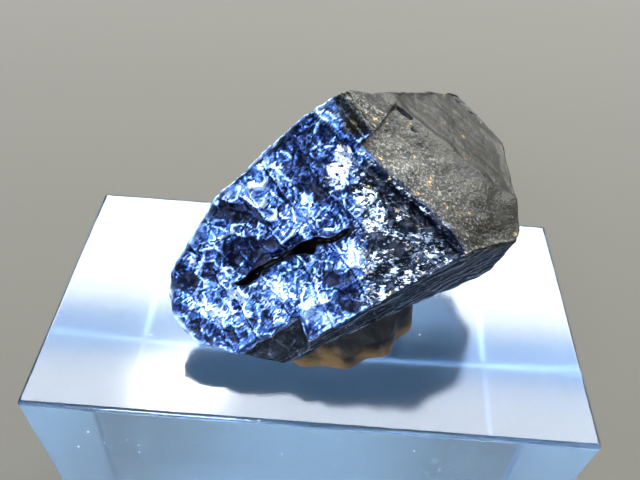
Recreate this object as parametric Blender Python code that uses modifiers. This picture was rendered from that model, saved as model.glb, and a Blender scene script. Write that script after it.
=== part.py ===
"""Anatase crystal fixed with a lump of putty on top of a clear acrylic display block.

Metres, +Z up. The origin is the centre of the block's bottom face. +X is to the right
and -Y is towards a viewer in front of the block.
"""

import math

import bmesh
import bpy
import numpy as np
from mathutils import Euler, Matrix, Vector, noise

# Lengths below are in millimetres, angles in degrees
MM = 0.001
OBJECT_NAME = "anatase_specimen"

# Display block: a flat square of acrylic standing on its narrow side
BLOCK_WIDTH = 20.0
BLOCK_DEPTH = 10.6
BLOCK_HEIGHT = 20.0
BLOCK_EDGE_ROUND = 0.22
BLOCK_EDGE_SEGMENTS = 3

# Where the crystal sits: the middle of its broad face, and how that face is turned
CRYSTAL_PLACE = (-0.10, -1.16, BLOCK_HEIGHT + 4.81)
CRYSTAL_TURN = (43.2, -2.8, 3.2)

# Crystal faces in the crystal's own frame, whose +Z stands on the broad face and whose
# +X runs to the right: azimuth and polar angle of the outward normal, distance, finish
CRYSTAL_FACES = {
    "broad_pyramid": (216.8, 9.9, 0.05, "stepped"),
    "upper_pyramid": (36.9, 33.4, 2.43, "waved"),
    "shoulder": (49.4, 53.4, 3.75, "waved"),
    "lower_side": (296.3, 67.7, 2.57, "striated"),
    "upper_left_side": (129.6, 98.6, 3.44, "broken"),
    "top_side": (116.0, 99.7, 3.82, "broken"),
    "left_side": (146.3, 95.7, 3.80, "broken"),
    "tip": (178.0, 96.9, 5.28, "broken"),
    "tip_corner": (222.8, 95.7, 5.70, "broken"),
    "bottom": (254.2, 90.0, 4.63, "broken"),
    "right_shoulder": (39.2, 78.5, 7.04, "waved"),
    "right_end": (0.0, 86.0, 6.90, "waved"),
    "right_corner": (334.2, 83.7, 5.99, "striated"),
    "underside": (263.8, 165.0, 2.75, "broken"),
    "underside_back": (127.9, 145.0, 4.45, "broken"),
    "underside_tip": (190.3, 146.0, 4.45, "broken"),
}
CRYSTAL_REACH = 9.0

# Two notches, each beyond a floor and a wall with the same three numbers: a conchoidal chip out
# of the broad face's lower edge, and the lower part of the upper face below a step
CHIP_FLOOR = (288.2, 36.8, 1.04)
CHIP_WALL = (22.1, 101.5, -1.54)
STEP_FLOOR = (48.8, 33.4, 2.11)
STEP_WALL = (127.8, 95.0, 1.93)

# Open crack across the broad face: x, y and half width of each station along it
CRACK_STATIONS = (
    (-2.95, -1.60, 0.03),
    (-2.48, -1.37, 0.15),
    (-2.15, -1.18, 0.07),
    (-1.65, -0.92, 0.07),
    (-1.00, -0.54, 0.15),
    (-0.60, -0.33, 0.24),
    (-0.28, -0.10, 0.13),
    (0.20, 0.04, 0.11),
    (0.62, 0.18, 0.14),
    (1.10, 0.42, 0.03),
)
CRACK_DEPTH_PER_WIDTH = 3.0

# Relief, all of it cut inwards from the faces above
GRID = 0.37
CLEAR_SHARE = 0.15
ON_FACE = 1e-3
SHORTEST_EDGE = 0.02
EDGE_ZONE = 0.4
EDGE_SHARE = 0.35
LEDGE_AZIMUTH = 36.9
LEDGE_PITCH = 1.20
LEDGE_DROP = 0.24
LEDGE_WANDER = 0.35
PIT_SIZE = 0.85
PIT_DEPTH = 0.16
WAVE_SIZE = 2.0
WAVE_DEPTH = 0.28
GROOVE_AZIMUTH = 30.4
GROOVE_PITCH = 0.75
GROOVE_DEPTH = 0.12
BREAK_SIZE = 1.3
BREAK_DEPTH = 0.30

# Putty lump: an upright half egg, squeezed flat under the crystal
PUTTY_PLACE = (0.40, 0.20, BLOCK_HEIGHT)
PUTTY_RADII = (3.40, 3.25, 5.20)
PUTTY_DETAIL = 5
FLUTE_COUNT = 13
FLUTE_DEPTH = 0.10
SQUEEZE_SIZE = 1.4
SQUEEZE_DEPTH = 0.14

# Clearance kept between pieces that rest on each other
CONTACT_GAP = 0.1


def clear_scene():
    for obj in list(bpy.data.objects):
        bpy.data.objects.remove(obj, do_unlink=True)


def new_collection(name, is_cutters=False):
    collection = bpy.data.collections.new(name)
    bpy.context.scene.collection.children.link(collection)
    collection.hide_render = is_cutters
    return collection


def new_material(name, colour, roughness, metallic=0.0, transmission=0.0, ior=1.5):
    material = bpy.data.materials.new(name)
    material.use_nodes = True
    shader = material.node_tree.nodes["Principled BSDF"]
    shader.inputs["Base Color"].default_value = (*colour, 1.0)
    shader.inputs["Roughness"].default_value = roughness
    shader.inputs["Metallic"].default_value = metallic
    shader.inputs["Transmission Weight"].default_value = transmission
    shader.inputs["IOR"].default_value = ior
    material.diffuse_color = (*colour, 1.0)
    return material


def object_from_bmesh(name, bm, collection):
    """A new object from a bmesh in millimetres."""
    bmesh.ops.scale(bm, vec=(MM, MM, MM), verts=bm.verts)
    mesh = bpy.data.meshes.new(name)
    bm.to_mesh(mesh)
    bm.free()
    obj = bpy.data.objects.new(name, mesh)
    collection.objects.link(obj)
    return obj


def in_millimetres(place):
    return Vector(place) * MM


def in_radians(turn):
    return Euler([math.radians(angle) for angle in turn])


def facing(azimuth, polar):
    """Unit vector at an azimuth from +X and a polar angle from +Z."""
    around, down = math.radians(azimuth), math.radians(polar)
    return Vector((math.sin(down) * math.cos(around), math.sin(down) * math.sin(around), math.cos(down)))


def cut_off(bm, normal, distance):
    """Removes what lies beyond a plane, and closes the cut with a face."""
    found = bmesh.ops.bisect_plane(
        bm,
        geom=bm.verts[:] + bm.edges[:] + bm.faces[:],
        dist=1e-5,
        plane_co=normal * distance,
        plane_no=normal,
        clear_outer=True,
    )
    rim = [part for part in found["geom_cut"] if isinstance(part, bmesh.types.BMEdge)]
    if rim:
        bmesh.ops.contextual_create(bm, geom=rim)


def solid_between(planes, reach):
    """Convex solid left from a cube of the given half size by cutting at each plane."""
    bm = bmesh.new()
    bmesh.ops.create_cube(bm, size=2 * reach)
    for normal, distance in planes:
        cut_off(bm, normal, distance)
    bmesh.ops.recalc_face_normals(bm, faces=bm.faces[:])
    return bm


def subtract(obj, cutter):
    modifier = obj.modifiers.new(cutter.name, "BOOLEAN")
    modifier.operation = "DIFFERENCE"
    modifier.solver = "EXACT"
    modifier.object = cutter


def evaluated_bmesh(obj):
    """The object's mesh after its modifiers, as a bmesh in millimetres."""
    graph = bpy.context.evaluated_depsgraph_get()
    mesh = bpy.data.meshes.new_from_object(obj.evaluated_get(graph))
    bm = bmesh.new()
    bm.from_mesh(mesh)
    bpy.data.meshes.remove(mesh)
    bmesh.ops.scale(bm, vec=(1 / MM, 1 / MM, 1 / MM), verts=bm.verts)
    return bm


def slice_evenly(bm, spacing, reach):
    """Cuts the faces along three sets of parallel planes, two of them in line with the growth ledges."""
    bmesh.ops.triangulate(bm, faces=bm.faces[:])
    steps = int(reach / spacing)
    for axis in (facing(LEDGE_AZIMUTH, 90), facing(LEDGE_AZIMUTH + 90, 90), Vector((0, 0, 1))):
        for step in range(-steps, steps + 1):
            bmesh.ops.bisect_plane(
                bm,
                geom=bm.verts[:] + bm.edges[:] + bm.faces[:],
                dist=spacing * CLEAR_SHARE,
                plane_co=axis * (step * spacing),
                plane_no=axis,
            )
    bmesh.ops.triangulate(bm, faces=bm.faces[:])


def ripple(point, size, shift):
    """Smooth noise between 0 and 1 whose bumps are about the given size."""
    return 0.5 + 0.5 * noise.noise(point / size + Vector((shift, shift, shift)))


def along(point, azimuth):
    """How far a point lies in the direction of an azimuth."""
    return point.dot(facing(azimuth, 90))


def stepped_relief(point):
    """Growth ledges across the face, each rising slowly and dropping towards the tip, with pits."""
    place = (along(point, LEDGE_AZIMUTH) + LEDGE_WANDER * noise.noise(point / 1.7)) / LEDGE_PITCH
    ledge = LEDGE_DROP * (place % 1.0)
    return ledge + PIT_DEPTH * ripple(point, PIT_SIZE, 3.1)


def waved_relief(point):
    """Soft swells, each with smaller ones on it."""
    swell = ripple(point, WAVE_SIZE, 7.7)
    return WAVE_DEPTH * (0.65 * swell + 0.35 * ripple(point, 0.4 * WAVE_SIZE, 4.2))


def striated_relief(point):
    """Grooves that follow the edge between this side and the broad face."""
    across = along(point, GROOVE_AZIMUTH + 90) + 0.5 * point.z
    grooves = 0.5 + 0.5 * math.sin(2 * math.pi * across / GROOVE_PITCH)
    return GROOVE_DEPTH * grooves * ripple(point, WAVE_SIZE, 1.3)


def broken_relief(point):
    coarse = ripple(point, BREAK_SIZE, 11.9)
    return BREAK_DEPTH * (0.7 * coarse + 0.3 * ripple(point, 0.4 * BREAK_SIZE, 5.3))


RELIEF = {
    "stepped": stepped_relief,
    "waved": waved_relief,
    "striated": striated_relief,
    "broken": broken_relief,
}


def cut_relief(bm):
    """Moves each point inwards by its relief, measured square to every crystal face that it lies on.

    The relief is shallower beside an edge between two faces, so that the edge stays whole.
    """
    faces = [(facing(azimuth, polar), distance, RELIEF[finish])
             for azimuth, polar, distance, finish in (*CRYSTAL_FACES.values(), (*STEP_FLOOR, "waved"))]
    for vert in bm.verts:
        point = vert.co.copy()
        inside = [distance - point.dot(normal) for normal, distance, _ in faces]
        met = [face for face, depth in zip(faces, inside) if abs(depth) < ON_FACE]
        if not met:
            continue
        nearest = 0.0 if len(met) > 1 else min(depth for depth in inside if depth >= ON_FACE)
        share = EDGE_SHARE + (1 - EDGE_SHARE) * min(1.0, nearest / EDGE_ZONE)
        normals = np.array([normal for normal, _, _ in met])
        depths = np.array([share * relief(point) for _, _, relief in met])
        vert.co -= Vector(np.linalg.pinv(normals, rcond=0.1) @ depths)


def make_crack_cutter(collection):
    """A blade that follows the crack, as wide as the crack and three times as deep."""
    curve = bpy.data.curves.new("crack_line", "CURVE")
    curve.dimensions = "3D"
    curve.bevel_depth = 1.0
    curve.bevel_resolution = 1
    curve.use_fill_caps = True
    spline = curve.splines.new("POLY")
    spline.points.add(len(CRACK_STATIONS) - 1)
    for point, (x, y, half_width) in zip(spline.points, CRACK_STATIONS):
        point.co = (x, y, 0.0, 1.0)
        point.radius = half_width
    guide = bpy.data.objects.new("crack_line", curve)
    collection.objects.link(guide)
    bpy.context.view_layer.update()
    graph = bpy.context.evaluated_depsgraph_get()
    mesh = bpy.data.meshes.new_from_object(guide.evaluated_get(graph))
    bpy.data.objects.remove(guide)
    bm = bmesh.new()
    bm.from_mesh(mesh)
    bpy.data.meshes.remove(mesh)
    bmesh.ops.remove_doubles(bm, verts=bm.verts[:], dist=1e-4)
    bmesh.ops.scale(bm, vec=(1, 1, CRACK_DEPTH_PER_WIDTH), verts=bm.verts)
    broad = facing(*CRYSTAL_FACES["broad_pyramid"][:2])
    level = CRYSTAL_FACES["broad_pyramid"][2]
    for vert in bm.verts:
        vert.co.z += (level - broad.x * vert.co.x - broad.y * vert.co.y) / broad.z
    bmesh.ops.recalc_face_normals(bm, faces=bm.faces[:])
    return object_from_bmesh("crack_cutter", bm, collection)


def make_notch_cutter(name, floor, wall, collection):
    """What lies beyond the floor and short of the wall."""
    planes = [(-facing(*floor[:2]), -floor[2]), (facing(*wall[:2]), wall[2])]
    return object_from_bmesh(name, solid_between(planes, CRYSTAL_REACH), collection)


def make_crystal(collection, cutters):
    planes = [(facing(azimuth, polar), distance) for azimuth, polar, distance, _ in CRYSTAL_FACES.values()]
    blank = object_from_bmesh("crystal_blank", solid_between(planes, CRYSTAL_REACH), cutters)
    subtract(blank, make_notch_cutter("step_cutter", STEP_FLOOR, STEP_WALL, cutters))
    subtract(blank, make_notch_cutter("chip_cutter", CHIP_FLOOR, CHIP_WALL, cutters))
    subtract(blank, make_crack_cutter(cutters))
    bpy.context.view_layer.update()
    bm = evaluated_bmesh(blank)
    slice_evenly(bm, GRID, CRYSTAL_REACH)
    cut_relief(bm)
    bmesh.ops.dissolve_degenerate(bm, dist=SHORTEST_EDGE, edges=bm.edges[:])
    bmesh.ops.triangulate(bm, faces=bm.faces[:])
    crystal = object_from_bmesh("crystal", bm, collection)
    crystal.location = in_millimetres(CRYSTAL_PLACE)
    crystal.rotation_euler = in_radians(CRYSTAL_TURN)
    crystal.data.materials.append(new_material("anatase", (0.05, 0.08, 0.20), 0.28, metallic=0.6))
    return crystal


def make_putty(collection):
    """The lump's round base stands on the block, and its top is flat against the crystal's underside."""
    bm = bmesh.new()
    bmesh.ops.create_icosphere(bm, subdivisions=PUTTY_DETAIL, radius=1.0)
    for vert in bm.verts:
        point = Vector(a * b for a, b in zip(vert.co, PUTTY_RADII))
        around = math.atan2(vert.co.y, vert.co.x)
        flute = FLUTE_DEPTH * (0.5 - 0.5 * math.sin(FLUTE_COUNT * around))
        squeeze = SQUEEZE_DEPTH * ripple(point, SQUEEZE_SIZE, 2.2)
        outwards = Vector((vert.co.x, vert.co.y, 0.0))
        vert.co = point - outwards * (flute + squeeze - 0.1)
    to_putty = Matrix.Translation(-Vector(PUTTY_PLACE))
    crystal_frame = Matrix.Translation(CRYSTAL_PLACE) @ in_radians(CRYSTAL_TURN).to_matrix().to_4x4()
    azimuth, polar, distance, _ = CRYSTAL_FACES["underside"]
    normal = crystal_frame.to_3x3() @ facing(azimuth, polar)
    contact = to_putty @ crystal_frame @ (facing(azimuth, polar) * (distance + CONTACT_GAP))
    cut_off(bm, -normal, -normal.dot(contact))
    cut_off(bm, Vector((0, 0, -1)), -CONTACT_GAP)
    bmesh.ops.recalc_face_normals(bm, faces=bm.faces[:])
    putty = object_from_bmesh("mounting_putty", bm, collection)
    putty.location = in_millimetres(PUTTY_PLACE)
    putty.data.shade_smooth()
    putty.data.set_sharp_from_angle(angle=math.radians(40))
    putty.data.materials.append(new_material("putty", (0.16, 0.09, 0.035), 0.4))
    return putty


def make_block(collection):
    bm = bmesh.new()
    bmesh.ops.create_cube(bm, size=1.0)
    bmesh.ops.scale(bm, vec=(BLOCK_WIDTH, BLOCK_DEPTH, BLOCK_HEIGHT), verts=bm.verts)
    block = object_from_bmesh("display_block", bm, collection)
    block.location = in_millimetres((0, 0, BLOCK_HEIGHT / 2))
    rounding = block.modifiers.new("polished_edges", "BEVEL")
    rounding.width = BLOCK_EDGE_ROUND * MM
    rounding.segments = BLOCK_EDGE_SEGMENTS
    block.data.shade_smooth()
    block.data.set_sharp_from_angle(angle=math.radians(40))
    acrylic = new_material("clear_acrylic", (0.93, 0.96, 1.0), 0.03, transmission=1.0, ior=1.49)
    block.data.materials.append(acrylic)
    return block


clear_scene()
parts = new_collection(OBJECT_NAME)
cutters = new_collection("cutters", is_cutters=True)
make_block(parts)
make_putty(parts)
make_crystal(parts, cutters)
for cutter in cutters.objects:
    cutter.hide_render = True
    cutter.display_type = "WIRE"
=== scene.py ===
"""Anatase crystal held by putty on a clear acrylic block, lit and seen as in the photograph."""

import math

import bmesh
import bpy
import numpy as np
from mathutils import Euler, Matrix, Vector, noise


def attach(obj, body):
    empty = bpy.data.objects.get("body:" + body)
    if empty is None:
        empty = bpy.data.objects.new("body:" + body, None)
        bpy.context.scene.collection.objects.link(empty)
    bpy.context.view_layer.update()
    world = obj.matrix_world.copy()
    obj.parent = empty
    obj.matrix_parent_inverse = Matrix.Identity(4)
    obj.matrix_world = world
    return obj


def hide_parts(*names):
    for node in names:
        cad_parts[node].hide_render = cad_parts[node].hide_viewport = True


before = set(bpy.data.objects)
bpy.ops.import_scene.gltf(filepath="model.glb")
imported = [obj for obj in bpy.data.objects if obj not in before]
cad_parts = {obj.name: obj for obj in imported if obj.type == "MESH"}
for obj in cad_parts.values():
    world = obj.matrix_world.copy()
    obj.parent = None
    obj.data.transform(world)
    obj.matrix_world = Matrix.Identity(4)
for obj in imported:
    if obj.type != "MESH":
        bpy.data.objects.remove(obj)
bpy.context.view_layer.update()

# Camera

# Lengths in the construction below are in millimetres and angles in degrees. The camera
# stands in front of the block and looks down on it by about 43 degrees.
MM = 0.001
CAMERA_PLACE = (-0.0417, -15.4186, 39.9543)
CAMERA_RIGHT = (0.99717784, 0.05638899, 0.04956439)
CAMERA_UP = (-0.07503091, 0.72575021, 0.68385452)
CAMERA_BACK = (0.0025905, -0.68564344, 0.72793294)
CAMERA_LENS = 35.65
CAMERA_SENSOR_WIDTH = 36.0
CAMERA_NEAREST = 0.5
CAMERA_FARTHEST = 10000.0

camera = bpy.data.objects.new("camera", bpy.data.cameras.new("camera"))
bpy.context.scene.collection.objects.link(camera)
camera.data.lens = CAMERA_LENS
camera.data.sensor_width = CAMERA_SENSOR_WIDTH
camera.data.clip_start = CAMERA_NEAREST * MM
camera.data.clip_end = CAMERA_FARTHEST * MM
camera_axes = Matrix((CAMERA_RIGHT, CAMERA_UP, CAMERA_BACK)).transposed()
camera.matrix_world = Matrix.Translation(Vector(CAMERA_PLACE) * MM) @ camera_axes.to_4x4()
bpy.context.scene.camera = camera
bpy.context.scene.view_settings.view_transform = "Standard"


# Floor and light

# A plain floor in a pale room. The crystal mirrors soft lights in front and beside, and the block's
# top mirrors three strips behind, as a white sheet with a blue band, and a small glare light. A spot
# lights the table behind the block, which is seen through the block's front.
FLOOR_HALF_WIDTH = 600.0
FLOOR_DROP = 0.05
FLOOR_COLOUR = (0.050, 0.043, 0.030)
FLOOR_ROUGHNESS = 0.9
ROOM_COLOUR = (0.50, 0.50, 0.44)
ROOM_STRENGTH = 0.22

# In metres: what the area lights are turned towards, where the spot is and what it shines against
LIT_PLACE = Vector((0.0, 0.0, 0.022))
SPOT_PLACE = Vector((0.0, 0.150, 0.200))
SPOT_DIRECTION = Vector((0.0, 0.136, 0.200))
SPOT_ENERGY = 22.0
SPOT_COLOUR = (0.50, 0.72, 1.0)
SPOT_ANGLE = 5.0
SPOT_RADIUS = 0.004


class Shade:
    """A value or colour made by a material's nodes, which can be used in ordinary arithmetic."""

    def __init__(self, material, socket):
        self.material = material
        self.socket = socket

    def math(self, operation, *operands, clamp=False):
        return self.material.node(
            "ShaderNodeMath", {"operation": operation, "use_clamp": clamp}, dict(enumerate(operands)))

    def __add__(self, other):
        return self.math("ADD", self, other)

    def __radd__(self, other):
        return self.math("ADD", other, self)

    def __sub__(self, other):
        return self.math("SUBTRACT", self, other)

    def __rsub__(self, other):
        return self.math("SUBTRACT", other, self)

    def __mul__(self, other):
        return self.math("MULTIPLY", self, other)

    def __rmul__(self, other):
        return self.math("MULTIPLY", other, self)

    def __truediv__(self, other):
        return self.math("DIVIDE", self, other)

    def clamped(self):
        return self.math("ADD", self, 0.0, clamp=True)

    def smoothstep(self, low, high):
        """0 below low and 1 above high, with a smooth change between."""
        return self.material.node(
            "ShaderNodeMapRange",
            {"interpolation_type": "SMOOTHSTEP"},
            {"Value": self, "From Min": low, "From Max": high},
        )


class Material:
    """A new material with one Principled shader."""

    def __init__(self, name, **values):
        self.data = bpy.data.materials.new(name)
        self.data.use_nodes = True
        self.tree = self.data.node_tree
        self.shader = self.tree.nodes["Principled BSDF"]
        self.set(**values)

    def feed(self, socket, value):
        if isinstance(value, Shade):
            self.tree.links.new(value.socket, socket)
        elif socket.type == "RGBA":
            socket.default_value = (*value, 1.0)
        else:
            socket.default_value = value

    def set(self, **values):
        """Sets or connects sockets of the shader, with _ for each space in their names."""
        for key, value in values.items():
            self.feed(self.shader.inputs[key.replace("_", " ")], value)

    def node(self, kind, settings, inputs, output=0):
        """Any node, with its settings and inputs given by name or number."""
        new = self.tree.nodes.new(kind)
        for key, value in settings.items():
            setattr(new, key, value)
        for key, value in inputs.items():
            self.feed(new.inputs[key], value)
        return Shade(self, new.outputs[output])

    def place(self, stretch=None):
        """Where a point of the piece is, in metres, with each coordinate multiplied by its stretch."""
        place = self.node("ShaderNodeTexCoord", {}, {}, "Object")
        if stretch:
            place = self.node("ShaderNodeVectorMath", {"operation": "MULTIPLY"}, {0: place, 1: stretch})
        return place

    def attribute(self, name):
        """A value stored on the mesh's points."""
        return self.node("ShaderNodeAttribute", {"attribute_name": name}, {}, "Fac")

    def noise(self, size, detail=2.0, roughness=0.5, distortion=0.0, stretch=None):
        """Smooth noise between 0 and 1, with bumps of the given size in millimetres."""
        inputs = {"Scale": 1.0 / (size * MM), "Detail": detail, "Roughness": roughness,
                  "Distortion": distortion, "Vector": self.place(stretch)}
        return self.node("ShaderNodeTexNoise", {}, inputs)

    def mix(self, share, first, second):
        """The first colour where share is 0 and the second where it is 1."""
        return self.node("ShaderNodeMix", {"data_type": "RGBA"}, {0: share, 6: first, 7: second}, 2)

    def bump(self, height, depth):
        """Normals of a surface whose height, between 0 and 1, stands for a depth in millimetres."""
        inputs = {"Height": height, "Distance": depth * MM, "Strength": 1.0}
        return self.node("ShaderNodeBump", {}, inputs)


def finished(name, bm, material):
    """The finished piece: its bmesh, in world millimetres, becomes an object at the origin."""
    bmesh.ops.scale(bm, vec=(MM, MM, MM), verts=bm.verts)
    mesh = bpy.data.meshes.new(name)
    bm.to_mesh(mesh)
    bm.free()
    piece = bpy.data.objects.new(name, mesh)
    bpy.context.scene.collection.objects.link(piece)
    mesh.materials.append(material.data)
    return piece


def placed_light(name, kind, place, direction, energy, colour):
    """A light at a place in metres that shines against the given direction."""
    light = bpy.data.lights.new(name, kind)
    light.energy = energy
    light.color = colour
    holder = bpy.data.objects.new(name, light)
    holder.location = place
    holder.rotation_euler = direction.to_track_quat("Z", "Y").to_euler()
    bpy.context.scene.collection.objects.link(holder)
    return light


def area_light(name, direction, distance, size, energy, colour):
    """A rectangular light at a distance in metres from the crystal, turned towards it."""
    direction = Vector(direction)
    place = LIT_PLACE + direction.normalized() * distance
    light = placed_light(name, "AREA", place, direction, energy, colour)
    light.shape = "RECTANGLE"
    light.size, light.size_y = size


floor_material = Material("floor", Base_Color=FLOOR_COLOUR, Roughness=FLOOR_ROUGHNESS)
bm = bmesh.new()
bmesh.ops.create_grid(bm, x_segments=1, y_segments=1, size=FLOOR_HALF_WIDTH)
bmesh.ops.translate(bm, vec=(0, 0, -FLOOR_DROP), verts=bm.verts)
floor = finished("floor", bm, floor_material)

world = bpy.data.worlds.new("room")
bpy.context.scene.world = world
world.use_nodes = True
background = world.node_tree.nodes["Background"]
background.inputs["Color"].default_value = (*ROOM_COLOUR, 1.0)
background.inputs["Strength"].default_value = ROOM_STRENGTH

area_light("front_light", (-0.30, -0.75, 0.64), 0.16, (0.05, 0.035), 0.30, (0.72, 0.86, 1.0))
area_light("front_fill", (-0.55, -0.60, 0.58), 0.30, (0.26, 0.26), 0.42, (0.34, 0.54, 1.0))
area_light("side_light", (0.88, 0.05, 0.48), 0.30, (0.30, 0.24), 0.24, (1.0, 0.93, 0.78))
area_light("low_front_light", (0.10, -0.89, 0.42), 0.30, (0.50, 0.04), 0.50, (0.30, 0.55, 1.0))
area_light("low_back_light", (0.0, 0.743, 0.669), 0.30, (0.62, 0.122), 6.0, (0.90, 0.95, 1.0))
area_light("blue_back_light", (0.0, 0.559, 0.829), 0.30, (0.62, 0.024), 0.70, (0.30, 0.55, 1.0))
area_light("high_back_light", (0.0, 0.431, 0.903), 0.30, (0.62, 0.063), 2.1, (0.86, 0.92, 1.0))
spot = placed_light("table_spot", "SPOT", SPOT_PLACE, SPOT_DIRECTION, SPOT_ENERGY, SPOT_COLOUR)
spot.spot_size = math.radians(SPOT_ANGLE)
spot.spot_blend = 1.0
spot.shadow_soft_size = SPOT_RADIUS
area_light("glare_light", (-0.227, 0.502, 0.900), 0.28, (0.035, 0.022), 0.13, (1.0, 1.0, 1.0))


# Display block

# A flat square of clear acrylic standing on its narrow side on the floor. Its edges are polished
# round, and a few dull specks of dust lie on it.
BLOCK_WIDTH = 20.0
BLOCK_DEPTH = 10.6
BLOCK_HEIGHT = 20.0
BLOCK_EDGE_ROUND = 0.16
BLOCK_EDGE_SEGMENTS = 5
ACRYLIC_TINT = (0.46, 0.69, 1.0)
ACRYLIC_ROUGHNESS = 0.13
SPECK_SIZE = 0.32
SPECK_ROUGHNESS = 0.5

acrylic = Material(
    "clear_acrylic", Base_Color=ACRYLIC_TINT, Roughness=ACRYLIC_ROUGHNESS, IOR=1.49, Transmission_Weight=1.0)
specks = acrylic.noise(SPECK_SIZE).smoothstep(0.76, 0.79)
acrylic.set(Roughness=ACRYLIC_ROUGHNESS + SPECK_ROUGHNESS * specks)
bm = bmesh.new()
bmesh.ops.create_cube(bm, size=1.0)
bmesh.ops.scale(bm, vec=(BLOCK_WIDTH, BLOCK_DEPTH, BLOCK_HEIGHT), verts=bm.verts)
bmesh.ops.translate(bm, vec=(0, 0, BLOCK_HEIGHT / 2), verts=bm.verts)
bmesh.ops.bevel(bm, geom=bm.edges[:], offset=BLOCK_EDGE_ROUND, segments=BLOCK_EDGE_SEGMENTS,
                profile=0.5, affect="EDGES", material=-1)
# Only the rounded edges are shaded smooth, so that the large faces stay flat.
for face in bm.faces:
    face.smooth = face.calc_area() < BLOCK_EDGE_ROUND * BLOCK_WIDTH
block = finished("clear_block", bm, acrylic)
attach(block, "root")
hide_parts("display_block")


# Crystal

# One natural crystal fragment pressed into the putty, blue-black and metallic: a broad pyramid face
# that is pitted and stepped, smoother upper faces, a striated lower side, a crack and a chip.
CRYSTAL_PLACE = (-0.10, -1.16, BLOCK_HEIGHT + 4.81)
CRYSTAL_TURN = (43.2, -2.8, 3.2)

# Faces in the crystal's own frame, whose +Z stands on the broad face and whose +X runs to the
# right: azimuth and polar angle of the outward normal, distance, finish
CRYSTAL_FACES = {
    "broad_pyramid": (216.8, 9.9, 0.05, "stepped"),
    "upper_pyramid": (36.9, 33.4, 2.43, "waved"),
    "shoulder": (49.4, 53.4, 3.75, "waved"),
    "lower_side": (296.3, 67.7, 2.57, "striated"),
    "upper_left_side": (129.6, 98.6, 3.44, "broken"),
    "top_side": (116.0, 99.7, 3.82, "broken"),
    "left_side": (146.3, 95.7, 3.80, "broken"),
    "tip": (178.0, 96.9, 5.28, "broken"),
    "tip_corner": (222.8, 95.7, 5.70, "broken"),
    "bottom": (254.2, 90.0, 4.63, "broken"),
    "right_shoulder": (39.2, 78.5, 7.04, "waved"),
    "right_end": (0.0, 86.0, 6.90, "waved"),
    "right_corner": (334.2, 83.7, 5.99, "striated"),
    "underside": (263.8, 165.0, 2.75, "broken"),
    "underside_back": (127.9, 145.0, 4.45, "broken"),
    "underside_tip": (190.3, 146.0, 4.45, "broken"),
}
CRYSTAL_REACH = 9.0

# The flat faces are first moved in by a small share and made slightly wavy: waves' size and depth
FACE_SHARE = 0.993
FACE_CUTS = 36
FACE_WAVE_SIZE = 0.9
FACE_WAVE_DEPTH = 0.07

# Two notches, each beyond a floor and a wall: a chip out of the broad face's lower edge, and the
# lower part of the upper face below a step
CHIP_FLOOR = (288.2, 36.8, 1.04)
CHIP_WALL = (22.1, 101.5, -1.54)
CHIP_WAVE_DEPTH = 0.17
STEP_FLOOR = (48.8, 33.4, 2.11)
STEP_WALL = (127.8, 72.0, 1.75)
STEP_WAVE_DEPTH = 0.07
CUT_FACES = {**CRYSTAL_FACES, "lower_step": (*STEP_FLOOR, "waved"), "chip": (*CHIP_FLOOR, "shell")}

# Stations of the crack: x, y, half width. Its sides jog to and fro.
CRACK_STATIONS = (
    (-3.05, -1.58, 0.02),
    (-2.55, -1.42, 0.12),
    (-2.22, -1.20, 0.22),
    (-1.95, -0.95, 0.12),
    (-1.44, -0.68, 0.105),
    (-0.95, -0.42, 0.11),
    (-0.60, -0.26, 0.20),
    (-0.32, -0.24, 0.28),
    (-0.10, 0.00, 0.14),
    (0.33, -0.02, 0.115),
    (0.70, 0.18, 0.16),
    (1.07, 0.46, 0.05),
)
CRACK_DEPTH_PER_WIDTH = 7.5
CRACK_CUTS = 4
CRACK_JOG = 0.09
CRACK_JOG_SIZE = 0.22
CRACK_REACH = 0.4

# The dense mesh: distance of its points, how near a point has to be to a plane to belong to that
# face, and how much of the relief is left at an edge, which grows over the edge zone
POINT_SPACING = 0.06
SMOOTHING_PASSES = 2
ON_FACE = 0.18
EDGE_ZONE = 0.4
EDGE_SHARE = 0.5

# Relief. The noise is turned so that its lattice doesn't lie along the faces. Noise vectors depend
# on the seed, which is the time unless it is set. Layers are depth, size and shift, and those of
# facets size, tilt and shift. A shift only keeps layers from repeating.
NOISE_SEED = 3
NOISE_TURN = np.array(Euler((0.7, 0.5, 0.9)).to_matrix())
CREST_SHARPNESS = 2.2
FACET_SPREAD = 7.31
LEDGE_AZIMUTH = 36.9
LEDGE_PITCH = 1.20
LEDGE_DROP = 0.24
LEDGE_WANDER_LAYERS = ((0.70, 1.7, 0.0),)
WARP_DEPTH = 0.35
WARP_SIZE = 0.7
WARP_SHIFTS = (1.1, 21.1, 41.1)
PIT_LAYERS = ((0.16, 0.85, 3.1),)
CREST_LAYERS = ((0.24, 1.1, 5.4), (0.11, 0.5, 9.4), (0.05, 0.24, 6.1))
STEPPED_FACETS = ((1.2, 0.20, 8.1), (0.45, 0.55, 4.7))
SWELL_LAYERS = ((0.13, 2.0, 7.7), (0.07, 0.8, 4.2), (0.05, 0.35, 2.9), (0.02, 0.14, 5.9))
GROOVE_AZIMUTH = 30.4
GROOVE_PITCH = 0.75
GROOVE_DEPTH = 0.12
GROOVE_LEAN = 0.5
GROOVE_CHANGE_LAYERS = ((1.0, 2.0, 1.3),)
GROOVE_SWAY_LAYERS = ((0.25, 2.5, 8.8),)
FINE_GROOVE_PITCH = 0.23
FINE_GROOVE_DEPTH = 0.05
GROOVE_CREST_LAYERS = ((0.10, 0.9, 4.1),)
GROOVE_GRAIN_LAYERS = ((0.03, 0.16, 5.5),)
SHELL_CENTRE = (-0.70, -2.40)
SHELL_PITCH = 0.55
SHELL_DEPTH = 0.05
SHELL_SWAY_LAYERS = ((0.5, 0.9, 4.9),)
SHELL_LAYERS = ((0.16, 0.8, 6.6), (0.03, 0.2, 8.9))
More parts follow.
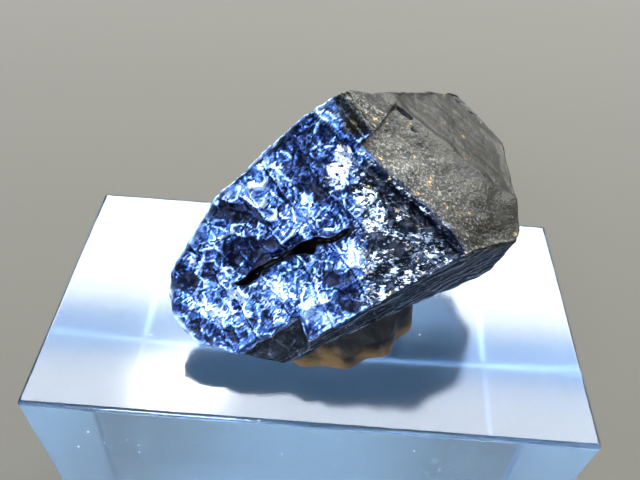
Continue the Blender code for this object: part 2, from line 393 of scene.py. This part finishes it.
SHELL_FACETS = ((0.6, 0.5, 2.4),)
BREAK_LAYERS = ((0.21, 1.3, 11.9), (0.09, 0.52, 5.3), (0.04, 0.2, 3.7))
BREAK_FACETS = ((0.55, 0.5, 1.9),)

# Ragged ditches across the broad face, and thin furrows: start, end, half width, depth
DITCHES = (
    ((-3.46, 1.42, -0.28), (-2.20, 0.40, -0.23), 0.24, 0.20),
    ((-2.78, 1.39, -0.19), (-1.70, 0.38, -0.16), 0.12, 0.12),
    ((-4.45, -0.30, -0.60), (-3.55, -1.42, -0.60), 0.22, 0.18),
    ((-1.62, 1.74, 0.01), (-1.05, 1.15, 0.02), 0.10, 0.12),
    ((1.95, 1.50, 0.47), (2.66, 0.98, 0.52), 0.14, 0.13),
    ((2.76, 1.12, 0.54), (3.47, 0.62, 0.60), 0.12, 0.11),
    ((3.63, 0.48, 0.61), (4.45, -0.19, 0.65), 0.09, 0.10),
)
FURROWS = (
    ((-0.76, -0.93, -0.15), (-0.80, -1.99, -0.27), 0.06, 0.10),
    ((4.49, -0.61, 0.59), (6.71, 0.00, -0.48), 0.10, 0.16),
    ((2.68, 4.59, -0.91), (3.26, 4.21, -0.98), 0.10, 0.22),
    ((3.16, 3.88, -0.77), (3.37, 3.71, -0.78), 0.06, 0.12),
    ((1.52, 4.05, -0.14), (2.07, 4.3, -0.5), 0.05, 0.10),
)
DITCH_WAVER_LAYERS = ((3.2, 0.35, 12.4),)
FURROW_WAVER_LAYERS = ((0.8, 0.35, 12.4),)
NARROWEST_SHARE = 0.1
NARROW_END_SHARE = 0.3
# Ditches and furrows this deep are painted fully dark, as shade in the recess
DARK_DITCH_DEPTH = 0.06
DARK_FURROW_DEPTH = 0.08

# Patches on the broad face where the surface turns away from the light, where it faces it, and
# where it is flat enough to mirror it: x, y, radius along x, radius along y
DARK_PATCHES = (
    (-0.50, 2.25, 0.95, 1.10),
    (-2.80, 0.90, 0.60, 0.35),
    (-2.60, -0.50, 1.15, 0.50),
    (-4.70, -1.60, 0.35, 0.50),
    (-4.10, -2.90, 0.35, 0.25),
    (0.90, -2.05, 0.45, 0.45),
    (0.50, -1.40, 0.50, 0.33),
    (2.50, -0.50, 0.50, 0.60),
    (3.60, 0.40, 0.85, 0.45),
    (1.15, 1.60, 0.55, 0.22),
    (2.75, 1.05, 0.70, 0.22),
    (1.90, -1.05, 0.35, 0.25),
    (1.05, 3.05, 0.26, 0.20),
)
PALE_PATCHES = (
    (-2.40, 1.55, 0.85, 0.42),
    (-0.80, 0.75, 0.80, 0.42),
    (-1.95, 2.50, 0.35, 0.25),
    (0.10, 4.20, 0.60, 0.55),
    (-1.30, -1.80, 1.20, 0.50),
    (-3.50, -2.55, 0.75, 0.45),
    (0.05, -2.65, 0.55, 0.25),
    (1.40, -0.50, 0.65, 0.45),
    (1.70, 0.95, 0.60, 0.60),
    (-4.20, -0.75, 0.30, 0.35),
)
MIRROR_PATCHES = (
    (0.63, 2.35, 0.42, 0.58),
    (1.45, 1.35, 0.40, 0.30),
    (1.75, 0.75, 0.35, 0.35),
    (-1.95, 2.50, 0.25, 0.16),
    (-2.75, -1.95, 0.30, 0.20),
)
PATCH_REACH = 1.4
PATCH_SHARPNESS = 1.2
PATCH_RAGGED_LAYERS = ((2.2, 0.6, 2.6), (1.0, 0.2, 7.4))
MIRROR_RAGGEDNESS = 0.6
MIRROR_LEVEL = 0.32
MIRROR_FLATNESS = 0.55

# The broad face's rough surface ends at this line in the crystal's upper corner: x, y, x per y
# upwards. Its black part begins at the right and, like the dark girdle, ends below the corner.
CORNER_EDGE = (0.93, 3.24, 0.40)
CORNER_RAGGED_LAYERS = ((0.3, 0.3, 1.7),)
BLACK_AZIMUTH = 5.0
BLACK_START = 0.6
BLACK_RAMP = 1.3
BLACK_TOP = 3.0
GIRDLE_TOP = 3.2
TOP_RAMP = 0.8
GIRDLE_WIDTH = 0.04
GIRDLE_WIDTH_LAYERS = ((0.42, 0.45, 3.3),)
RIM_WIDTH = 0.10
RIM_WIDTH_LAYERS = ((0.25, 0.4, 8.3),)
GRAIN_REACH = 1.8
HIDDEN_NEARNESS = 0.05
RIM_FACES = ("upper_left_side", "top_side", "left_side", "tip", "tip_corner")
SMOOTH_FACES = ("upper_pyramid", "lower_step", "shoulder", "right_shoulder")


def facing(azimuth, polar):
    """Unit vector at an azimuth from +X and a polar angle from +Z."""
    around, down = math.radians(azimuth), math.radians(polar)
    return Vector((math.sin(down) * math.cos(around), math.sin(down) * math.sin(around), math.cos(down)))


def cut_off(bm, normal, distance):
    """Removes what lies beyond a plane, and closes the cut with a face."""
    found = bmesh.ops.bisect_plane(
        bm,
        geom=bm.verts[:] + bm.edges[:] + bm.faces[:],
        dist=1e-5,
        plane_co=normal * distance,
        plane_no=normal,
        clear_outer=True,
    )
    rim = [part for part in found["geom_cut"] if isinstance(part, bmesh.types.BMEdge)]
    if rim:
        bmesh.ops.contextual_create(bm, geom=rim)


def working_object(name, bm):
    """An object in millimetres that only serves to build a piece."""
    mesh = bpy.data.meshes.new(name)
    bm.to_mesh(mesh)
    bm.free()
    obj = bpy.data.objects.new(name, mesh)
    bpy.context.scene.collection.objects.link(obj)
    return obj


def wavy_solid(name, planes, wave_depth):
    """Working object left from a cube by cutting at each plane, its flat faces made slightly wavy."""
    bm = bmesh.new()
    bmesh.ops.create_cube(bm, size=2 * CRYSTAL_REACH)
    for normal, distance in planes:
        cut_off(bm, normal, distance)
    bmesh.ops.recalc_face_normals(bm, faces=bm.faces[:])
    bmesh.ops.triangulate(bm, faces=bm.faces[:])
    bmesh.ops.subdivide_edges(bm, edges=bm.edges[:], cuts=FACE_CUTS, use_grid_fill=True)
    for vert in bm.verts:
        vert.co += wave_depth * noise.noise_vector(vert.co / FACE_WAVE_SIZE)
    return working_object(name, bm)


def evaluated_bmesh(*objects):
    """The first object's mesh after its modifiers; all the objects are then removed."""
    bpy.context.view_layer.update()
    graph = bpy.context.evaluated_depsgraph_get()
    mesh = bpy.data.meshes.new_from_object(objects[0].evaluated_get(graph))
    bm = bmesh.new()
    bm.from_mesh(mesh)
    bpy.data.meshes.remove(mesh)
    for obj in objects:
        bpy.data.objects.remove(obj, do_unlink=True)
    return bm


def crack_cutter():
    """A blade that follows the crack. It is as wide as the crack and much deeper than wide."""
    curve = bpy.data.curves.new("crack_line", "CURVE")
    curve.dimensions = "3D"
    curve.bevel_depth = 1.0
    curve.bevel_resolution = 2
    curve.use_fill_caps = True
    spline = curve.splines.new("POLY")
    spline.points.add(len(CRACK_STATIONS) - 1)
    for point, (x, y, half_width) in zip(spline.points, CRACK_STATIONS):
        point.co = (x, y, 0.0, 1.0)
        point.radius = half_width
    guide = bpy.data.objects.new("crack_line", curve)
    bpy.context.scene.collection.objects.link(guide)
    bm = evaluated_bmesh(guide)
    bmesh.ops.remove_doubles(bm, verts=bm.verts[:], dist=1e-4)
    bmesh.ops.scale(bm, vec=(1, 1, CRACK_DEPTH_PER_WIDTH), verts=bm.verts)
    bmesh.ops.subdivide_edges(bm, edges=bm.edges[:], cuts=CRACK_CUTS, use_grid_fill=True)
    bmesh.ops.triangulate(bm, faces=bm.faces[:])
    for vert in bm.verts:
        jog = noise.noise_vector(Vector((vert.co.x, vert.co.y, 0.0)) / CRACK_JOG_SIZE)
        vert.co += Vector((CRACK_JOG * jog.x, CRACK_JOG * jog.y, 0.0))
    azimuth, polar, level, _ = CRYSTAL_FACES["broad_pyramid"]
    broad = facing(azimuth, polar)
    for vert in bm.verts:
        vert.co.z += (level - broad.x * vert.co.x - broad.y * vert.co.y) / broad.z
    bmesh.ops.recalc_face_normals(bm, faces=bm.faces[:])
    return working_object("crack_cutter", bm)


def notch_cutter(bottom, wall, wave_depth):
    """What lies beyond the notch's bottom and short of its wall."""
    planes = [(-facing(*bottom[:2]), -bottom[2]), (facing(*wall[:2]), wall[2])]
    return wavy_solid("notch_cutter", planes, wave_depth)


def unit(values):
    return np.clip(values, 0, 1)


def noise_at(points, size, shift):
    """Smooth noise between 0 and 1 at each point, with bumps of the given size."""
    turned = points @ NOISE_TURN / size + shift
    return np.array([0.5 + 0.5 * noise.noise(Vector(place)) for place in turned])


def swing_at(points, size, shift):
    """Smooth noise that swings about 0 by up to a half."""
    return noise_at(points, size, shift) - 0.5


def crests_at(points, size, shift):
    """Rounded hollows with sharp winding crests between: 0 on the crests, up to 1 in the hollows."""
    return np.minimum(np.abs(2 * swing_at(points, size, shift)) * CREST_SHARPNESS, 1.0)


def layers_at(points, pattern, layers):
    """Sum of several layers of a pattern."""
    return sum(depth * pattern(points, size, shift) for depth, size, shift in layers)


def facets_at(points, facets):
    """Heights of small flat facets, one per irregular cell, each with its own level and slope."""
    heights = np.zeros(len(points))
    for size, tilt, shift in facets:
        for index, place in enumerate(points / size + shift):
            centre = noise.voronoi(Vector(place))[1][0]
            lean = noise.cell_vector(centre * FACET_SPREAD) - Vector((0.5, 0.5, 0.5))
            heights[index] += size * tilt * lean.dot(Vector(place) - centre)
    return heights


def along(points, azimuth):
    return points @ np.array(facing(azimuth, 90))


def waves(place, pitch):
    """Even waves between 0 and 1."""
    return 0.5 + 0.5 * np.sin(2 * math.pi * place / pitch)


def stepped_relief(points):
    """Growth ledges across the face, each rising slowly and dropping towards the tip, with pits,
    winding crests and two sizes of small facets."""
    wander = layers_at(points, swing_at, LEDGE_WANDER_LAYERS)
    ledges = LEDGE_DROP * ((along(points, LEDGE_AZIMUTH) + wander) / LEDGE_PITCH % 1.0)
    warp = np.stack([noise_at(points, WARP_SIZE, shift) for shift in WARP_SHIFTS], axis=1)
    crests = layers_at(points + WARP_DEPTH * warp, crests_at, CREST_LAYERS)
    return ledges + layers_at(points, noise_at, PIT_LAYERS) + crests + facets_at(points, STEPPED_FACETS)


def waved_relief(points):
    """Soft swells, each with smaller ones on it, and a fine grain."""
    return layers_at(points, noise_at, SWELL_LAYERS)


def striated_relief(points):
    """Grooves that follow the edge between this side and the broad face, with finer ones between."""
    across = along(points, GROOVE_AZIMUTH + 90) + GROOVE_LEAN * points[:, 2]
    grooves = GROOVE_DEPTH * waves(across, GROOVE_PITCH) * layers_at(points, noise_at, GROOVE_CHANGE_LAYERS)
    across = across + layers_at(points, noise_at, GROOVE_SWAY_LAYERS)
    finer = FINE_GROOVE_DEPTH * waves(across, FINE_GROOVE_PITCH)
    rough = layers_at(points, crests_at, GROOVE_CREST_LAYERS)
    return grooves + finer + rough + layers_at(points, noise_at, GROOVE_GRAIN_LAYERS)


def shell_relief(points):
    """Waves round one point, as in a shell-shaped break, and broad facets."""
    away = np.hypot(points[:, 0] - SHELL_CENTRE[0], points[:, 1] - SHELL_CENTRE[1])
    away = away + layers_at(points, noise_at, SHELL_SWAY_LAYERS)
    rings = SHELL_DEPTH * waves(away, SHELL_PITCH)
    return rings + layers_at(points, noise_at, SHELL_LAYERS) + facets_at(points, SHELL_FACETS)


def broken_relief(points):
    """Uneven breaks in three sizes, with small facets."""
    return layers_at(points, noise_at, BREAK_LAYERS) + facets_at(points, BREAK_FACETS)


RELIEF = {
    "stepped": stepped_relief,
    "waved": waved_relief,
    "striated": striated_relief,
    "shell": shell_relief,
    "broken": broken_relief,
}


def furrow_depth(points, furrows, waver_layers):
    """Depth of the furrows at each point, with a wavering width and narrow ends."""
    deepest = np.zeros(len(points))
    width_share = np.maximum(1 + layers_at(points, swing_at, waver_layers), NARROWEST_SHARE)
    for start, end, half_width, depth in furrows:
        start, run = np.array(start), np.array(end) - np.array(start)
        place = unit((points - start) @ run / (run @ run))
        off = np.linalg.norm(points - start - place[:, None] * run, axis=1)
        taper = NARROW_END_SHARE + (1 - NARROW_END_SHARE) * np.sqrt(unit(4 * place * (1 - place)))
        inside = unit(1 - off / (half_width * width_share * taper))
        deepest = np.maximum(deepest, depth * inside)
    return deepest


def patches_at(points, patches, raggedness=1.0):
    """1 inside the patches and 0 outside, with a ragged edge between."""
    ragged = raggedness * layers_at(points, swing_at, PATCH_RAGGED_LAYERS)
    most = np.zeros(len(points))
    for x, y, radius_x, radius_y in patches:
        off = np.hypot((points[:, 0] - x) / radius_x, (points[:, 1] - y) / radius_y)
        most = np.maximum(most, unit(PATCH_SHARPNESS * (PATCH_REACH - off + ragged)))
    return most


def crack_distance(points):
    """Distance from the crack's middle line, as seen from above the broad face."""
    stations = np.array([Vector(station[:2]) for station in CRACK_STATIONS])
    starts, runs = stations[:-1], stations[1:] - stations[:-1]
    from_starts = points[:, None, :2] - starts
    places = unit((from_starts * runs).sum(axis=2) / (runs ** 2).sum(axis=1))
    return np.linalg.norm(from_starts - places[..., None] * runs, axis=2).min(axis=1)


def ridge_at(bm):
    """How far each point stands out from its neighbours, per point spacing."""
    ridge = np.empty(len(bm.verts))
    for index, vert in enumerate(bm.verts):
        around = [edge.other_vert(vert).co for edge in vert.link_edges]
        middle = sum(around, Vector()) / len(around)
        ridge[index] = (vert.co - middle).dot(vert.normal) / POINT_SPACING
    return ridge


def shape_crystal(bm):
    """Cuts the relief into the dense mesh and returns what the material needs at each point."""
    points = np.array([vert.co for vert in bm.verts])
    normals = np.array([facing(azimuth, polar) for azimuth, polar, _, _ in CUT_FACES.values()])
    distances = np.array([distance for _, _, distance, _ in CUT_FACES.values()])
    inside = distances - points @ normals.T
    nearness = unit(1 - np.abs(inside) / ON_FACE)
    near = dict(zip(CUT_FACES, nearness.T))
    below = dict(zip(CUT_FACES, inside.T))

    # Relief of each finish, weaker at the edges and flatter in the mirror patches, then the furrows
    second = np.sort(np.abs(inside), axis=1)[:, 1]
    share = EDGE_SHARE + (1 - EDGE_SHARE) * unit(second / EDGE_ZONE)
    mirror = patches_at(points, MIRROR_PATCHES, MIRROR_RAGGEDNESS) * near["broad_pyramid"]
    moved = np.zeros_like(points)
    total = np.maximum(nearness.sum(axis=1), 1.0)
    for finish, relief in RELIEF.items():
        chosen = [index for index, face in enumerate(CUT_FACES.values()) if face[3] == finish]
        weights = nearness[:, chosen]
        touched = np.flatnonzero(weights.sum(axis=1) > 0)
        depth = relief(points[touched])
        flattened = depth + MIRROR_FLATNESS * mirror[touched] * (MIRROR_LEVEL - depth)
        push = weights[touched] @ normals[chosen]
        moved[touched] -= (share[touched] * flattened / total[touched])[:, None] * push
    furrows = furrow_depth(points, FURROWS, FURROW_WAVER_LAYERS)
    ditches = furrow_depth(points, DITCHES, DITCH_WAVER_LAYERS)
    moved -= (furrows + ditches)[:, None] * (nearness @ normals) / total[:, None]
    for vert, shift in zip(bm.verts, moved):
        vert.co += Vector(shift)
    bm.normal_update()

    # What is inside the crack, and what is beyond the broad face's end in the upper corner
    hidden = nearness.sum(axis=1) < HIDDEN_NEARNESS
    by_crack = crack_distance(points) < CRACK_REACH
    height = points[:, 1]
    edge_x, edge_y, edge_lean = CORNER_EDGE
    beside = edge_x - points[:, 0] - edge_lean * (height - edge_y)
    beside += layers_at(points, swing_at, CORNER_RAGGED_LAYERS)
    corner = unit(4 * unit(height - edge_y)) * unit(0.5 - 5 * beside)
    broad = unit(2 * near["broad_pyramid"]) * (1 - corner)
    smooth = sum(near[name] for name in SMOOTH_FACES)
    corner = np.maximum(corner, hidden & ~by_crack & (height > 0))

    # Zones of the broad face: a pale rim along its free edges, a dark girdle beside the upper face,
    # where the upper face's edge casts a painted shadow, and the black part on the right
    from_rim = np.minimum.reduce([below[name] for name in RIM_FACES])
    rim = 1 - from_rim / (RIM_WIDTH + layers_at(points, noise_at, RIM_WIDTH_LAYERS))
    from_girdle = np.minimum(below["upper_pyramid"], below["lower_step"])
    girdle = unit(1.6 - from_girdle / (GIRDLE_WIDTH + layers_at(points, noise_at, GIRDLE_WIDTH_LAYERS)))
    black = unit((along(points, BLACK_AZIMUTH) - BLACK_START) / BLACK_RAMP)
    return {
        "broad": broad,
        "striated": unit(2 * near["lower_side"]),
        "smooth": unit(2 * smooth + corner),
        "near_girdle": unit(1.1 - below["broad_pyramid"] / GRAIN_REACH),
        "recess_shade": np.maximum(hidden & by_crack, unit(furrows / DARK_FURROW_DEPTH)),
        "dark": np.maximum(patches_at(points, DARK_PATCHES), unit(ditches / DARK_DITCH_DEPTH)) * broad,
        "pale": patches_at(points, PALE_PATCHES) * broad,
        "rim": unit(2 * rim) * broad,
        "mirror": mirror,
        "girdle": girdle * unit((GIRDLE_TOP - height) / TOP_RAMP) * broad,
        "ridge": ridge_at(bm),
        "right": black * unit((BLACK_TOP - height) / TOP_RAMP) * broad,
    }


noise.seed_set(NOISE_SEED)
planes = [
    (facing(azimuth, polar), distance * FACE_SHARE) for azimuth, polar, distance, _ in CRYSTAL_FACES.values()]
blank = wavy_solid("crystal_blank", planes, FACE_WAVE_DEPTH)
cutters = [
    notch_cutter(STEP_FLOOR, STEP_WALL, STEP_WAVE_DEPTH),
    notch_cutter(CHIP_FLOOR, CHIP_WALL, CHIP_WAVE_DEPTH),
    crack_cutter(),
]
for cutter in cutters:
    modifier = blank.modifiers.new(cutter.name, "BOOLEAN")
    modifier.operation = "DIFFERENCE"
    modifier.solver = "EXACT"
    modifier.object = cutter
remesh = blank.modifiers.new("points", "REMESH")
remesh.mode = "VOXEL"
remesh.voxel_size = POINT_SPACING
bm = evaluated_bmesh(blank, *cutters)
for _ in range(SMOOTHING_PASSES):
    bmesh.ops.smooth_vert(
        bm, verts=bm.verts[:], factor=0.5, use_axis_x=True, use_axis_y=True, use_axis_z=True)
values = shape_crystal(bm)
crystal_turn = Euler([math.radians(angle) for angle in CRYSTAL_TURN])
crystal_frame = Matrix.Translation(CRYSTAL_PLACE) @ crystal_turn.to_matrix().to_4x4()
bmesh.ops.transform(bm, matrix=crystal_frame, verts=bm.verts)

# Colours of the broad face from its hollows, dark as painted shade, to its crests, white as painted
# highlights, each with the tones between which it takes over, then those of its black part with its
# painted glints, the upper faces, the lower side, and the painted shade in the crack and furrows
HOLLOW_SHADE_BLUE = (0.004, 0.006, 0.020)
TONE_COLOURS = (
    (0.10, 0.42, (0.024, 0.052, 0.18)),
    (0.36, 0.62, (0.10, 0.215, 0.50)),
    (0.56, 0.82, (0.36, 0.54, 0.88)),
    (0.78, 1.05, (0.88, 0.94, 1.0)),
)
COAL_BLACK = (0.005, 0.006, 0.009)
COAL_GLINT_WHITE = (0.84, 0.88, 0.96)
COAL_GOLD = (0.80, 0.55, 0.16)
DITCH_SHADE_BLACK = (0.004, 0.006, 0.014)
MIRROR_WHITE = (0.90, 0.94, 1.0)
GIRDLE_SHADOW_BLACK = (0.004, 0.005, 0.010)
RIM_BLUE = (0.50, 0.66, 0.95)
DARK_PEWTER = (0.0115, 0.0100, 0.0072)
PEWTER = (0.026, 0.0232, 0.0168)
PEWTER_GRAIN = (0.140, 0.132, 0.108)
PEWTER_DASH = (0.012, 0.012, 0.012)
OCHRE = (0.45, 0.27, 0.07)
DARK_SLATE = (0.010, 0.011, 0.016)
SLATE = (0.04, 0.045, 0.06)
SLATE_CREST_HIGHLIGHT = (0.30, 0.34, 0.42)
RECESS_SHADE_BLACK = (0.008, 0.008, 0.010)
STREAK_STRETCH = (0.5, 1.2, 1.2)
DASH_STRETCH = (0.4, 1.1, 1.1)
ANATASE_BUMP = 0.045

anatase = Material("anatase", IOR=2.2)
broad, striated, smooth, ridge, right = [
    anatase.attribute(name) for name in ("broad", "striated", "smooth", "ridge", "right")]
grain = anatase.noise(0.10, 3.0, 0.6, 0.6)
blotch = anatase.noise(0.9, 3.0, 0.6)
speck = anatase.noise(0.16, 3.0, 0.65, 0.8)
cloud = anatase.noise(0.55, 6.0, 0.66, 0.5)
swarm = anatase.noise(0.5, 3.0, 0.6)
streak = anatase.noise(0.10, 3.0, 0.6, 0.4, STREAK_STRETCH)

# How bright the broad face is: patches of painted shade and painted light, clouds, pale crests as painted
# highlights and dark pits as painted shade
# Painted shade in the dark patches and ditches, and painted light in the pale patches
painted_shade_share = (anatase.attribute("dark") + (speck - 0.5) * 1.2).smoothstep(0.20, 0.80)
painted_light_share = (anatase.attribute("pale") + (speck - 0.5) * 1.2).smoothstep(0.20, 0.80)
mirror_share = (anatase.attribute("mirror") + (speck - 0.5) * 1.6).smoothstep(0.35, 0.65)
# Painted highlight on the crests and painted shade in the pits, both taken from the mesh's curvature
crest_highlight = (ridge + (speck - 0.5) * 0.35 + (blotch - 0.5) * 0.25).smoothstep(0.04, 0.16)
pit_shade = (ridge + (speck - 0.5) * 0.35 + (blotch - 0.5) * 0.35).smoothstep(-0.03, -0.15)
tone = 0.47 + (cloud - 0.5) * 1.2 + (blotch - 0.5) * 0.7 + painted_light_share * 0.34 - painted_shade_share * 0.32
tone = tone + (grain - 0.5) * 0.35 + crest_highlight * (0.10 + 0.45 * tone.clamped()) - pit_shade * 0.26
blue = HOLLOW_SHADE_BLUE
for low, high, tone_colour in TONE_COLOURS:
    blue = anatase.mix(tone.smoothstep(low, high), blue, tone_colour)

# The black part with its flecks as painted glints, then the mirror patches as painted reflection, the girdle
# as painted shadow and the rim
# The white flecks on the black part are painted glints
coal = anatase.mix((streak + (swarm - 0.5) * 0.9).smoothstep(0.55, 0.63), COAL_BLACK, COAL_GLINT_WHITE)
gold = anatase.noise(0.30).smoothstep(0.64, 0.70) * grain.smoothstep(0.4, 0.6)
coal = anatase.mix(gold, coal, COAL_GOLD)
coal_share = (right + (speck - 0.5) * 1.5).smoothstep(0.35, 0.75)
blue = anatase.mix(coal_share * 0.93, blue, coal)
# Painted shade: the dark patches and ditches turn black within the black part
blue = anatase.mix(painted_shade_share * 0.7 * right, blue, DITCH_SHADE_BLACK)
# Painted reflection: the mirror patches are whitened where they would mirror the light
glint = (streak + crest_highlight * 0.3 - right * 0.10).smoothstep(0.42, 0.52)
blue = anatase.mix(mirror_share * glint, blue, MIRROR_WHITE)
# Painted shadow along the girdle, a little lighter on the crests
blue = anatase.mix(anatase.attribute("girdle") * (0.95 - 0.5 * crest_highlight), blue, GIRDLE_SHADOW_BLACK)
blue = anatase.mix(anatase.attribute("rim") * 0.5, blue, RIM_BLUE)

# The upper faces, with a pale grain and dark dashes near the girdle and a few ochre stains
near_girdle = anatase.attribute("near_girdle")
pewter = anatase.mix(anatase.noise(0.9, 4.0, 0.6).smoothstep(0.35, 0.65), DARK_PEWTER, PEWTER)
pewter = anatase.mix(grain.smoothstep(0.50, 0.62) * (0.1 + 0.6 * near_girdle), pewter, PEWTER_GRAIN)
dash = anatase.noise(0.10, 2.0, 0.6, 0.6, DASH_STRETCH).smoothstep(0.55, 0.62)
pewter = anatase.mix(dash * (0.25 + 0.7 * near_girdle), pewter, PEWTER_DASH)
ochre = anatase.noise(0.45).smoothstep(0.66, 0.74)
pewter = anatase.mix(ochre * grain.smoothstep(0.40, 0.60) * 0.6, pewter, OCHRE)

# The lower side and the broken faces, whose crests are pale where the side is striated, as painted highlights
slate = anatase.mix(grain.smoothstep(0.4, 0.7), DARK_SLATE, SLATE)
# Painted highlight on the crests, taken from the mesh's curvature
slate_crest_highlight = (ridge + (grain - 0.5) * 0.1).smoothstep(0.01, 0.10)
slate = anatase.mix(slate_crest_highlight * (0.2 + 0.7 * striated), slate, SLATE_CREST_HIGHLIGHT)

colour = anatase.mix(smooth, slate, pewter)
colour = anatase.mix(broad, colour, blue)
# Painted shade: the inside of the crack and the furrows are black
colour = anatase.mix(anatase.attribute("recess_shade"), colour, RECESS_SHADE_BLACK)
heights = anatase.noise(0.12, 3.0, 0.6) * 0.6 + anatase.noise(0.05) * 0.4
anatase.set(
    Base_Color=colour,
    Metallic=0.80 + 0.10 * broad + 0.14 * smooth,
    Roughness=(0.40 + 0.04 * smooth - 0.10 * mirror_share).clamped(),
    Normal=anatase.bump(heights, ANATASE_BUMP),
)

crystal = finished("anatase_crystal", bm, anatase)
for name, numbers in values.items():
    crystal.data.attributes.new(name, "FLOAT", "POINT").data.foreach_set("value", numbers.astype(np.float32))
crystal.data.shade_smooth()
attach(crystal, "root")
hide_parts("crystal")


# Putty

# The brown lump that the crystal is pressed into: smooth, a little translucent, with upright
# flutes, dark under the crystal and amber where it meets the block.
PUTTY_PLACE = (0.40, 0.20, BLOCK_HEIGHT)
PUTTY_RADII = (3.40, 3.25, 5.20)
PUTTY_DETAIL = 7
PUTTY_SWELL = 0.1
FLUTE_COUNT = 13
FLUTE_DEPTH = 0.18
SQUEEZE_SIZE = 1.4
SQUEEZE_DEPTH = 0.14
SQUEEZE_SHIFT = Vector((2.2, 2.2, 2.2))
LUMP_SIZE = 0.5
LUMP_DEPTH = 0.05
LUMP_SHIFT = Vector((4.4, 4.4, 4.4))
CONTACT_GAP = 0.02
SHARP_ANGLE = 40
AMBER = (0.17, 0.090, 0.028)
SHADED_BROWN = (0.008, 0.006, 0.005)
AMBER_FADE = 2.6

bm = bmesh.new()
bmesh.ops.create_icosphere(bm, subdivisions=PUTTY_DETAIL, radius=1.0)
for vert in bm.verts:
    point = Vector(a * b for a, b in zip(vert.co, PUTTY_RADII))
    around = math.atan2(vert.co.y, vert.co.x)
    flute = FLUTE_DEPTH * (0.5 - 0.5 * math.sin(FLUTE_COUNT * around))
    squeeze = SQUEEZE_DEPTH * (0.5 + 0.5 * noise.noise(point / SQUEEZE_SIZE + SQUEEZE_SHIFT))
    lump = LUMP_DEPTH * noise.noise(point / LUMP_SIZE + LUMP_SHIFT)
    outwards = Vector((vert.co.x, vert.co.y, 0.0))
    vert.co = point - outwards * (flute + squeeze + lump - PUTTY_SWELL) + Vector(PUTTY_PLACE)
azimuth, polar, distance, _ = CRYSTAL_FACES["underside"]
normal = crystal_frame.to_3x3() @ facing(azimuth, polar)
contact = crystal_frame @ (facing(azimuth, polar) * (distance + CONTACT_GAP))
cut_off(bm, -normal, -normal.dot(contact))
cut_off(bm, Vector((0, 0, -1)), -(BLOCK_HEIGHT + CONTACT_GAP))
bmesh.ops.recalc_face_normals(bm, faces=bm.faces[:])

putty_material = Material(
    "putty", Roughness=0.42, Subsurface_Weight=0.15, Subsurface_Scale=0.0006, Coat_Roughness=0.15,
    Specular_IOR_Level=0.25)
height = putty_material.node("ShaderNodeSeparateXYZ", {}, {0: putty_material.place()}, "Z")
rise = ((height - BLOCK_HEIGHT * MM) / (AMBER_FADE * MM)).clamped()
rise = (rise + 0.8 * (putty_material.noise(0.8, 3.0) - 0.5)).clamped()
brown = putty_material.mix(rise.smoothstep(0.0, 0.34), AMBER, SHADED_BROWN)
putty_material.set(Base_Color=brown, Coat_Weight=0.1,
                   Normal=putty_material.bump(putty_material.noise(0.5, 3.0), 0.05))
putty = finished("putty_lump", bm, putty_material)
putty.data.shade_smooth()
putty.data.set_sharp_from_angle(angle=math.radians(SHARP_ANGLE))
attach(putty, "root")
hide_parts("mounting_putty")
